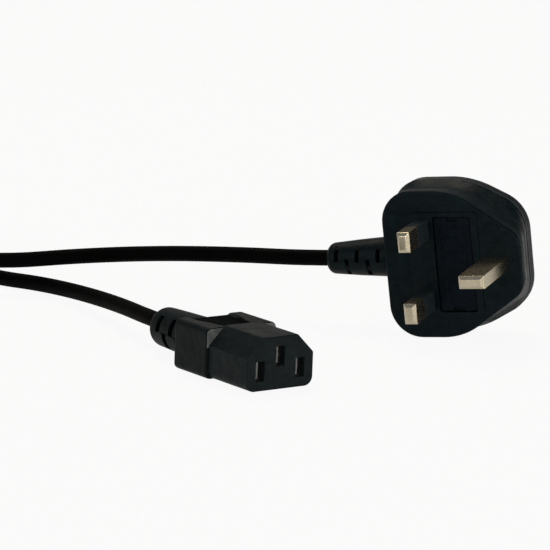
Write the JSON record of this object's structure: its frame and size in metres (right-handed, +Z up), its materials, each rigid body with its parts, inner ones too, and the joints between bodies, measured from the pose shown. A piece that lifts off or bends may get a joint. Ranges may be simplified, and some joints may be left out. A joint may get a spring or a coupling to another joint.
{
  "type": "three-pin mains plug with flex and appliance connector",
  "caption": "Moulded three-pin plug lying on its side, with its fuse carrier, thin round flex wound in a coil, and a slotted appliance connector.",
  "frame": {"origin": "centre of the plug's box, on the surface that it lies on (flex and connector left out)", "axes": "+Z up; +X from the flex's exit to the earth pin, along the plug's longest side; the pins point to -Y"},
  "size_m": [0.2714, 0.1547, 0.0484],
  "materials": {
    "overmould_pvc": "soft black moulded PVC with a slight sheen",
    "bridge_plastic": "hard black moulded plastic",
    "carrier_plastic": "hard blue-black moulded plastic",
    "sleeve_plastic": "black moulded sleeve",
    "pin_metal": "bright plated brass",
    "spring_metal": "sprung sheet brass",
    "fuse_cap_metal": "plated end cap",
    "fuse_ceramic": "glazed ceramic tube",
    "core_brown": "brown core insulation",
    "core_blue": "blue core insulation",
    "core_green": "green and yellow core insulation",
    "flex_pvc": "round black PVC sheath",
    "connector_pvc": "soft black moulded PVC",
    "insert_plastic": "hard black moulded plastic"
  },
  "bodies": {
    "lead": {"plug_overmould": "overmould_pvc", "pin_bridge": "bridge_plastic", "live_pin": "pin_metal", "neutral_pin": "pin_metal", "earth_pin": "pin_metal", "live_sleeve": "sleeve_plastic", "neutral_sleeve": "sleeve_plastic", "fuse_clip_pin_side": "spring_metal", "fuse_clip_line_side": "spring_metal", "plug_line_core": "core_brown", "plug_neutral_core": "core_blue", "plug_earth_core": "core_green", "flex_plug_run": "flex_pvc", "flex_coil": "flex_pvc", "flex_connector_run": "flex_pvc", "connector_overmould": "connector_pvc", "connector_insert": "insert_plastic", "line_contact": "spring_metal", "neutral_contact": "spring_metal", "earth_contact": "spring_metal", "connector_line_core": "core_brown", "connector_neutral_core": "core_blue", "connector_earth_core": "core_green"},
    "carrier": {"fuse_carrier": "carrier_plastic", "fuse_tube": "fuse_ceramic", "fuse_cap_pin_side": "fuse_cap_metal", "fuse_cap_line_side": "fuse_cap_metal"}
  },
  "joints": [
    {"name": "carrier_pull", "type": "slide", "parent": "lead", "child": "carrier", "axis": [0.0046, -0.9986, -0.0521], "range_m": [0, 0.012]}
  ]
}
